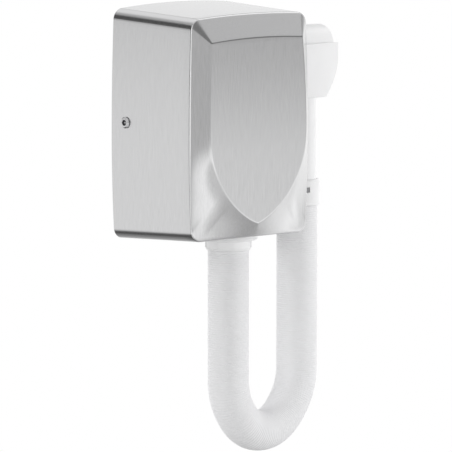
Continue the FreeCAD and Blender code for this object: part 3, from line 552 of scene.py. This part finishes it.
UNDER, ASIDE = (-128, -110), (80, 95)
cover = without(cover, shafts("cover_openings", [
    (2, circle(LEG_X, LEG_Y, OUTLET_RADIUS), *UNDER),
    *[(2, slot_outline(x), *UNDER) for x in SLOT_STARTS],
    (0, circle(LOCK_Y, LOCK_Z, LOCK_HOLE, 24), -ASIDE[1], -ASIDE[0]),
    (0, circle(LOCK_Y, LOCK_Z, LOCK_HOLE, 24), *ASIDE)]))


# the steel: streaks down the sheet in its gloss, its colour and its relief
STEEL, GLOSS, STREAK = (0.66, 0.66, 0.665), 0.19, 0.02
cover_steel, tree, shader = surface("cover_steel", STEEL, GLOSS, 1.0)
brushing = grain(tree, (1500, 1500, 60), 4.0)
wire(tree, ranged(tree, brushing, GLOSS - STREAK, GLOSS + STREAK), shader.inputs["Roughness"])
tinted(tree, shader, ranged(tree, brushing, 0, 1), tuple(part * 0.94 for part in STEEL),
       tuple(part * 1.05 for part in STEEL))
roughen(tree, shader, brushing, 0.000002)
# its gloss is drawn out across the brushing: level round the sides, and sideways on the top
shader.inputs["Anisotropic"].default_value = 0.8
facing = tree.nodes.new("ShaderNodeNewGeometry").outputs["Normal"]
level = node(tree, "ShaderNodeVectorMath", operation="CROSS_PRODUCT")
level.inputs[0].default_value = (0, 0, 1)
wire(tree, facing, level.inputs[1])
upward = tree.nodes.new("ShaderNodeSeparateXYZ")
wire(tree, facing, upward.inputs["Vector"])
sideways = node(tree, "ShaderNodeVectorMath", operation="MULTIPLY_ADD")
sideways.inputs[1].default_value = (1, 0, 0)
wire(tree, sum_of(upward.outputs["Z"], 0.0, "ABSOLUTE"), sideways.inputs[0])
wire(tree, level.outputs["Vector"], sideways.inputs[2])
wire(tree, sideways.outputs["Vector"], shader.inputs["Tangent"])
cover.data.materials.append(cover_steel)
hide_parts("front_cover")
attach(cover, "housing")

# ------------------------------------------------------------------ outlet flange and bayonet ring
# White moulded flange screwed up under the cover. The hose's cuff goes up into it and is held
# by a ring with two finger ribs, which turns to lock.

def lathe(name, profile, x, y, z, axis=2, sides=96, shape=None, smooth=35):
    """A closed profile of (radius, height, corner rounding) turned about an upright or level axis.

    A shape function may move each point, given its angle, radius and height."""
    outline = []
    count = len(profile)
    for index, (radius, height, ease) in enumerate(profile):
        corner = Vector((radius, height))
        if not ease:
            outline.append(corner)
            continue
        before = Vector(profile[index - 1][:2]) - corner
        after = Vector(profile[(index + 1) % count][:2]) - corner
        outline += rounded_turn(corner + before.normalized() * min(ease, before.length / 2),
                                corner,
                                corner + after.normalized() * min(ease, after.length / 2), 4)
    points, faces = [], []
    total_rows = len(outline)
    for turn in range(sides):
        angle = math.tau * turn / sides
        for radius, height in outline:
            if shape:
                radius, height = shape(angle, radius, height)
            across, along = radius * math.cos(angle), radius * math.sin(angle)
            points.append((x + across, y + along, z + height) if axis == 2
                          else (x + height, y + across, z + along))
        for row in range(total_rows):
            following = (row + 1) % total_rows
            here, there = turn * total_rows, (turn + 1) % sides * total_rows
            faces.append((here + row, there + row, there + following, here + following))
    return mesh_object(name, points, faces, smooth)


def finished(item, material, slot, body, *replaced):
    """Give a piece its material and its body, in place of the designed parts. The slot is not
    used.
    """
    item.data.materials.clear()
    item.data.materials.append(material)
    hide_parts(*replaced)
    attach(item, body)
    return item


def underside(x, y):
    """How low the cover's underside hangs at a place."""
    inner = RIM["half"] - EDGE_ROUND
    away = min(1.0, abs(x) / (BACK["half"] - EDGE_ROUND))
    reach = -RIM["y"] + brought_forward(CORNER_LONG + inner * (1 - away), inner, RIM["bow"])
    share = -y / reach
    low = BACK["low"] + (RIM["low"] - BACK["low"]) * share
    belly = BACK["belly"] + (RIM["belly"] - BACK["belly"]) * share
    return -low - (belly - low) * (1 - away ** 2)


FLANGE_LOW, FLANGE_RADIUS, SPIGOT_RADIUS, SPIGOT_TOP = -127.2, 31, 25.8, -112
SOCKET_BORE, SPIGOT_BORE = 21.5, 19.6


def under_cover(angle, radius, height):
    """Let the flange's upper face follow the cover's underside."""
    if height > 5 and radius > SPIGOT_RADIUS:
        x, y = LEG_X + radius * math.cos(angle), LEG_Y + radius * math.sin(angle)
        return radius, underside(x, y) - 0.1 - FLANGE_LOW
    return radius, height


flange = lathe("outlet_flange", [
    (SOCKET_BORE, 0, 0.6), (27.5, 0, 0.3), (28.0, 0.7, 0.2), (FLANGE_RADIUS - 0.4, 0.7, 0.9),
    (FLANGE_RADIUS, 5.5, 0), (SPIGOT_RADIUS + 0.2, 5.5, 0), (SPIGOT_RADIUS, 8, 0),
    (SPIGOT_RADIUS, SPIGOT_TOP - FLANGE_LOW, 0.6), (SPIGOT_BORE, SPIGOT_TOP - FLANGE_LOW, 0.6),
    (SPIGOT_BORE, 7.2, 0.2), (SOCKET_BORE, 7.2, 0.2)], LEG_X, LEG_Y, FLANGE_LOW, shape=under_cover)
white_plastic = moulded("white_plastic", (0.92, 0.92, 0.925), 0.32)
finished(flange, white_plastic, "white_plastic", "housing", "hose_flange")
painted(white_plastic, "lower_hose_cuff")

RING_LOW, RING_RADIUS, RING_BORE, RIB_PROUD, RIB_HALF = -137.3, 23.5, 21.8, 1.4, 3.5
RIB_ANGLES = (math.radians(-43), math.radians(137))
RIB_FOOT, RIB_TOP, RIB_SLOPE = 2.0, 9.1, 0.4


def ribbed(angle, radius, height):
    """Swell the ring's wall into a finger rib, with soft flanks and a rounded foot and head."""
    if radius < RING_RADIUS - 0.2 or not RIB_FOOT - 0.1 < height < RIB_TOP + 0.1:
        return radius, height
    gap = min(abs(math.remainder(angle - rib, math.tau)) for rib in RIB_ANGLES) * RING_RADIUS
    across = min(1.0, max(0.0, (RIB_HALF + RIB_SLOPE - gap) / (2 * RIB_SLOPE)))
    upright = RIB_FOOT + RIB_SLOPE < height < RIB_TOP - RIB_SLOPE / 2
    return radius + RIB_PROUD * eased(across) * upright, height


ring = lathe("bayonet_ring_body", [
    (RING_BORE, 0, 0.3), (23.8, 0, 0.5), (23.8, 1.6, 0.4), (RING_RADIUS, 2.0, 0),
    (RING_RADIUS, 2.5, 0), (RING_RADIUS, 3.0, 0), (RING_RADIUS, 8.3, 0), (RING_RADIUS, 8.8, 0),
    (RING_RADIUS, 9.7, 0.5), (RING_BORE, 9.7, 0.3)], LEG_X, LEG_Y, RING_LOW, sides=192,
    shape=ribbed)
finished(ring, white_plastic, "white_plastic", "bayonet", "bayonet_ring")

# ------------------------------------------------------------------ lock screws
# A stainless security screw on each flank draws the cover onto the plate's side tabs. Its low
# chamfered head has a deep six-sided socket with a pin at its middle.

SCREW_FACE, SCREW_START, SCREW_NECK, SCREW_HEAD, HEAD_THICK = 89.15, 80, 3.75, 6, 2.3
SOCKET, SOCKET_WALL, SOCKET_DEEP, PIN, PIN_TOP, MIDDLE = 3.1, 3.2, -6, 0.9, 1.0, 0.01


def hexed(angle, radius, height):
    """Make the socket's wall six-sided."""
    if abs(radius - SOCKET_WALL) < 0.2:
        return SOCKET / math.cos(angle % (math.pi / 3) - math.pi / 6), height
    return radius, height


for side, label in ((-1, "left"), (1, "right")):
    profile = [
        (MIDDLE, SCREW_START - SCREW_FACE, 0), (SCREW_NECK, SCREW_START - SCREW_FACE, 0),
        (SCREW_NECK, 0, 0), (SCREW_HEAD, 0, 0.1), (SCREW_HEAD, 1.1, 0.2),
        (SCREW_HEAD - 1.1, HEAD_THICK, 0.3), (SOCKET_WALL, HEAD_THICK, 0),
        (SOCKET_WALL, SOCKET_DEEP, 0), (PIN, SOCKET_DEEP, 0), (PIN, PIN_TOP, 0.2),
        (MIDDLE, PIN_TOP, 0)]
    screw = lathe(f"lock_screw_{label}_body",
                  [(radius, height * side, ease) for radius, height, ease in profile],
                  SCREW_FACE * side, LOCK_Y, LOCK_Z, axis=0, shape=hexed)
    finished(screw, screw_steel, "screw_steel", "housing", f"lock_screw_{label}")

# ------------------------------------------------------------------ hose
# A ribbed hose of soft white plastic on a steel spiral. It hangs from the outlet, turns up
# under its own weight in one bend and ends in the hand piece's swivel collar.

HOSE_POINTS = [
    (19.8, -64, -137.7), (19.8, -64, -258), (19.8, -64, -300), (46.5, -64, -336),
    (87.3, -64, -336), (120, -64, -296), (121, -64, -252), (121, -64, -96.8)]
HOSE_RADIUS, RIB_PITCH, RIB_DEPTH = 22.0, 2.4, 0.3
route = bpy.data.curves.new("hose_route", "CURVE")
route.dimensions = "3D"
line = route.splines.new("NURBS")
line.points.add(len(HOSE_POINTS) - 1)
for point, place in zip(line.points, HOSE_POINTS):
    point.co = (*[number * MM for number in place], 1)
line.order_u = 3
line.use_endpoint_u = True
line.resolution_u = 40
carrier = bpy.data.objects.new("hose_route", route)
followed = bpy.data.meshes.new_from_object(carrier)
hose_path = [tuple(vertex.co) for vertex in followed.vertices]
bpy.data.objects.remove(carrier)

spots = np.array(hose_path) / MM
reach = np.concatenate([[0], np.cumsum(np.linalg.norm(np.diff(spots, axis=0), axis=1))])
hose_length = float(reach[-1])
RIB_SHAPE = (0.0, 0.45, 0.8, 0.96, 1.0, 0.96, 0.8, 0.45)
ROUND = 72
rib_count = round(hose_length / RIB_PITCH)
row_count = rib_count * len(RIB_SHAPE) + 1
points, faces = [], []
for row in range(row_count):
    along = hose_length * row / (row_count - 1)
    centre = Vector([np.interp(along, reach, spots[:, axis]) for axis in range(3)])
    ahead = Vector([np.interp(along + 0.5, reach, spots[:, axis]) for axis in range(3)])
    behind = Vector([np.interp(along - 0.5, reach, spots[:, axis]) for axis in range(3)])
    forward = (ahead - behind).normalized()
    level = Vector((0, 1, 0))
    across = forward.cross(level)
    radius = HOSE_RADIUS - RIB_DEPTH * (1 - RIB_SHAPE[row % len(RIB_SHAPE)])
    for turn in range(ROUND):
        angle = math.tau * turn / ROUND
        points.append(centre + (level * math.cos(angle) + across * math.sin(angle)) * radius)
        if row:
            first, second = row * ROUND + turn, row * ROUND + (turn + 1) % ROUND
            faces.append((first - ROUND, second - ROUND, second, first))
faces += [tuple(range(ROUND)), tuple(range((row_count - 1) * ROUND, row_count * ROUND))]
hose = mesh_object("ribbed_hose", points, faces, 70)
hose_plastic, tree, shader = surface("hose_plastic", (0.85, 0.85, 0.86), 0.5)
tinted(tree, shader, ranged(tree, grain(tree, (60, 60, 25)), 0, 1), (0.83, 0.83, 0.84),
       (0.86, 0.86, 0.87))
roughen(tree, shader, grain(tree, (900, 900, 900)), 0.000002)
hose.data.materials.append(hose_plastic)
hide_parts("hose")
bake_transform(hose)

# ------------------------------------------------------------------ swivel collar and latch
# A white collar in which the hose turns freely. The dark latch in its window holds it to the
# handle and is pressed in to free the hose.

UPPER_X, COLLAR_LOW, COLLAR_HIGH, COLLAR_RADIUS, COLLAR_BORE = 121, -96.4, 27.7, 24.7, 21.2
LATCH_TURN, LATCH_RISE = math.radians(252.7), -79
WINDOW_REACH, WINDOW_HALF, WINDOW_EASE = 23, (4, 3.45, 2.75), 0.5
LATCH_REACH, LATCH_HALF, LATCH_EASE, LATCH_DISH = 23.4, (0.8, 3.05, 2.35), 0.35, 0.35
outward = Vector((math.cos(LATCH_TURN), math.sin(LATCH_TURN), 0))


def pillow(name, centre, half, ease, dish=0.0):
    """A block with every edge rounded: half sizes outwards, sideways and upwards.

    Its outer face can be dished."""
    build = bmesh.new()
    bmesh.ops.create_cube(build, size=2.0)
    for vertex in build.verts:
        vertex.co = Vector((vertex.co.x * half[0], vertex.co.y * half[1], vertex.co.z * half[2]))
    bmesh.ops.bevel(build, geom=build.edges[:], offset=ease, segments=4, profile=0.5,
                    affect="EDGES")
    if dish:
        bmesh.ops.subdivide_edges(build, edges=build.edges[:], cuts=3, use_grid_fill=True)
        for vertex in build.verts:
            share = max(0.0, 1 - (vertex.co.z / half[2]) ** 2) * max(
                0.0, 1 - (vertex.co.y / half[1]) ** 2)
            if vertex.co.x > half[0] * 0.6:
                vertex.co.x -= dish * share
    turn = Matrix.Rotation(LATCH_TURN, 4, "Z")
    build.transform(Matrix.Translation(centre) @ turn)
    build.transform(Matrix.Scale(MM, 4))
    mesh = bpy.data.meshes.new(name)
    build.to_mesh(mesh)
    build.free()
    item = bpy.data.objects.new(name, mesh)
    bpy.context.scene.collection.objects.link(item)
    return smoothed(item, 35)


collar = lathe("swivel_collar_body", [
    (COLLAR_BORE, 0, 0.3), (COLLAR_RADIUS - 0.5, 0, 0.7), (COLLAR_RADIUS, 1.2, 0.5),
    (COLLAR_RADIUS, COLLAR_HIGH - 1.5, 0.9), (COLLAR_RADIUS - 1.0, COLLAR_HIGH, 0.6),
    (COLLAR_BORE, COLLAR_HIGH, 0.3)], UPPER_X, LEG_Y, COLLAR_LOW)
window = pillow("latch_window", Vector((UPPER_X, LEG_Y, LATCH_RISE)) + outward * WINDOW_REACH,
                WINDOW_HALF, WINDOW_EASE)
collar = without(collar, window, 35)
finished(collar, white_plastic, "white_plastic", "hose_swivel", "swivel_collar")
latch = pillow("latch_pad", Vector((UPPER_X, LEG_Y, LATCH_RISE)) + outward * LATCH_REACH,
               LATCH_HALF, LATCH_EASE, LATCH_DISH)
latch_grey = moulded("latch_grey", (0.34, 0.34, 0.35), 0.45)
finished(latch, latch_grey, "latch_grey", "latch", "latch_button")

# ------------------------------------------------------------------ hand piece
# The part that is lifted from the holder: a straight white handle under a level round head.
# Air leaves through bars in the head's open end; the other end is plugged and has a magnet.

HEAD_Z, HEAD_BACK, HEAD_FRONT, HEAD_RADIUS, HEAD_BORE = 75.4, 92.8, 156, 21, 18.6
TUBE_RADIUS, TUBE_BORE, TUBE_LOW, TUBE_LONG = 20.8, 18.3, -90, 150


def under_head(angle, radius, height):
    """End the handle's wall where it meets the head."""
    if height > 1:
        aside = radius * math.sin(angle)
        return radius, HEAD_Z - math.sqrt(HEAD_RADIUS ** 2 - aside ** 2) + 0.05 - TUBE_LOW
    return radius, height


handle = lathe("handle", [
    (TUBE_BORE, 0, 0.2), (TUBE_RADIUS, 0, 0.4), (TUBE_RADIUS, TUBE_LONG, 0),
    (TUBE_BORE, TUBE_LONG, 0)],
    UPPER_X, LEG_Y, TUBE_LOW, shape=under_head)
finished(handle, white_plastic, "white_plastic", "hand_piece", "handle_tube")
painted(white_plastic, "upper_hose_cuff")

head_long = HEAD_FRONT - HEAD_BACK
head = lathe("head", [
    (HEAD_BORE - 2, 0, 0.3), (HEAD_RADIUS, 0, 1.6), (HEAD_RADIUS, head_long - 3.6, 0.2),
    (HEAD_RADIUS - 0.3, head_long - 3.3, 0.1), (HEAD_RADIUS - 0.3, head_long, 1.2),
    (HEAD_BORE, head_long, 0.7), (HEAD_BORE, 3, 0.2), (HEAD_BORE - 2, 3, 0.2)],
    HEAD_BACK, LEG_Y, HEAD_Z, axis=0, sides=128)
finished(head, white_plastic, "white_plastic", "hand_piece", "head_shell")
painted(white_plastic, "head_end_cap", "outlet_grille")

# ------------------------------------------------------------------ holder
# A white moulded cradle screwed to the cover's right flank from inside: a foot, a hollowed seat
# that the head rests on, and two cheeks that keep it from slipping sideways.

FOOT_X, FOOT_LOW, FOOT_TOP, FOOT_HALF, FOOT_CORNER = 92, 14, 84, 27, 6
CHEEK_HALF, CHEEK_THICK, CHEEK_END, CHEEK_TOP, CHEEK_DROP = 25, 2.5, 158.6, 77.5, 56.7
CHEEK_TOE, CHEEK_LOW, CHEEK_BEND, TOE_LEAN = 141.8, 19.6, (153.7, 39.8), 1.3
SEAT_END, SEAT_RADIUS, CREASE_SLOPE = 98, 21.5, 0.268
CHEEK_ROUND, FOOT_ROUND, SEAT_ROUND = 0.55, 0.6, 0.4


def flank(y, z):
    """How far out the cover's flank stands at a place."""
    share = y / RIM["y"]
    half = BACK["half"] + (RIM["half"] - BACK["half"]) * share
    mid = BACK["mid"] + (RIM["mid"] - BACK["mid"]) * share
    top = BACK["top"] + (RIM["top"] - BACK["top"]) * share - EDGE_ROUND
    low = EDGE_ROUND - BACK["low"] - (RIM["low"] - BACK["low"]) * share
    end = top if z > SHIELD_BEND else low
    return mid - (mid - half) * ((z - SHIELD_BEND) / (end - SHIELD_BEND)) ** 2


def arc_through(first, middle, last, steps):
    """Points along the circle through three points of a plane, leaving out the last."""
    (ax, ay), (bx, by), (cx, cy) = first, middle, last
    scale = 2 * (ax * (by - cy) + bx * (cy - ay) + cx * (ay - by))
    sums = [ax * ax + ay * ay, bx * bx + by * by, cx * cx + cy * cy]
    x = (sums[0] * (by - cy) + sums[1] * (cy - ay) + sums[2] * (ay - by)) / scale
    y = (sums[0] * (cx - bx) + sums[1] * (ax - cx) + sums[2] * (bx - ax)) / scale
    start, end = math.atan2(ay - y, ax - x), math.atan2(cy - y, cx - x)
    radius = math.hypot(ax - x, ay - y)
    return [(x + radius * math.cos(start + (end - start) * step / steps),
             y + radius * math.sin(start + (end - start) * step / steps))
            for step in range(steps)]


def rounded_rims(build, radius):
    """Turn a shell's faces outwards and round its sharp edges over."""
    bmesh.ops.recalc_face_normals(build, faces=build.faces)
    rims = [edge for edge in build.edges if edge.calc_face_angle(0) > math.radians(50)]
    bmesh.ops.bevel(build, geom=rims, offset=radius, segments=3, profile=0.5, affect="EDGES")


def block_between(front, back, radius):
    """A closed shell between two matching outlines, with its rims rounded over."""
    count = len(front)
    build = bmesh.new()
    near = [build.verts.new(point) for point in front]
    far = [build.verts.new(point) for point in back]
    build.faces.new(near)
    build.faces.new(far[::-1])
    for step in range(count):
        after = (step + 1) % count
        build.faces.new((near[after], near[step], far[step], far[after]))
    rounded_rims(build, radius)
    return build


def add_build(build, points, faces):
    """Add a shell's points and faces to lists, and let the shell go."""
    base = len(points)
    build.verts.index_update()
    points += [vertex.co.copy() for vertex in build.verts]
    faces += [tuple(base + vertex.index for vertex in face.verts) for face in build.faces]
    build.free()


arc_points = arc_through((CHEEK_END, CHEEK_DROP), CHEEK_BEND, (CHEEK_TOE, CHEEK_LOW), 14)
def lean(x, z):
    """How far a cheek leans in below the crease across it."""
    below = CHEEK_TOP - z - (x - FOOT_X + 1) * CREASE_SLOPE
    toe = CHEEK_TOP - CHEEK_LOW - (CHEEK_TOE - FOOT_X + 1) * CREASE_SLOPE
    return TOE_LEAN * max(0.0, below / toe)


crease = CHEEK_TOP - (CHEEK_END - FOOT_X + 1) * CREASE_SLOPE
points, faces = [], []
for side in (-1, 1):
    outer = LEG_Y + side * CHEEK_HALF
    inner = outer - side * CHEEK_THICK
    build = bmesh.new()
    nose = [(x, z) for x, z in arc_points[1:]] + [(CHEEK_TOE, CHEEK_LOW)]
    lower = [(FOOT_X - 1, CHEEK_TOP), (CHEEK_END, crease), (CHEEK_END, CHEEK_DROP), *nose,
             (FOOT_X - 1, CHEEK_LOW)]
    outside = [build.verts.new((x, outer - side * lean(x, z), z)) for x, z in lower]
    inside = [build.verts.new((x, inner - side * lean(x, z) / 2, z)) for x, z in lower]
    outside_top, inside_top = (build.verts.new((CHEEK_END, y, CHEEK_TOP)) for y in (outer, inner))
    build.faces.new(outside)
    build.faces.new((outside[0], outside_top, outside[1]))
    build.faces.new(inside[::-1])
    build.faces.new((inside[1], inside_top, inside[0]))
    build.faces.new((outside[0], inside[0], inside_top, outside_top))
    build.faces.new((outside_top, inside_top, inside[1], outside[1]))
    for step in range(1, len(outside)):
        after = (step + 1) % len(outside)
        build.faces.new((outside[step], inside[step], inside[after], outside[after]))
    rounded_rims(build, CHEEK_ROUND)
    add_build(build, points, faces)

corner_steps = range(0, 91, 15)
foot_outline = []
for centre_y, centre_z, start in (
        (LEG_Y + FOOT_HALF - FOOT_CORNER, FOOT_TOP - FOOT_CORNER, 0),
        (LEG_Y - FOOT_HALF + FOOT_CORNER, FOOT_TOP - FOOT_CORNER, 90),
        (LEG_Y - FOOT_HALF + FOOT_CORNER, FOOT_LOW + FOOT_CORNER, 180),
        (LEG_Y + FOOT_HALF - FOOT_CORNER, FOOT_LOW + FOOT_CORNER, 270)):
    foot_outline += [(centre_y + FOOT_CORNER * math.cos(math.radians(start + turn)),
                      centre_z + FOOT_CORNER * math.sin(math.radians(start + turn)))
                     for turn in corner_steps]
add_build(block_between([(FOOT_X, y, z) for y, z in foot_outline],
                        [(flank(y, z) + 0.05, y, z) for y, z in foot_outline], FOOT_ROUND),
          points, faces)
seat_inner = CHEEK_HALF - CHEEK_THICK + 0.2
bowl = [(LEG_Y + SEAT_RADIUS * math.sin(math.radians(turn)),
         HEAD_Z - SEAT_RADIUS * math.cos(math.radians(turn))) for turn in range(-88, 89, 8)]
seat = [(LEG_Y - seat_inner, CHEEK_LOW + 0.3), (LEG_Y - seat_inner, bowl[0][1]), *bowl,
        (LEG_Y + seat_inner, bowl[-1][1]), (LEG_Y + seat_inner, CHEEK_LOW + 0.3)]
add_build(block_between([(SEAT_END, y, z) for y, z in seat],
                        [(FOOT_X - 0.5, y, z) for y, z in seat], SEAT_ROUND), points, faces)
holder = mesh_object("holder", points, faces, 30)
finished(holder, white_plastic, "white_plastic", "housing", "cradle")
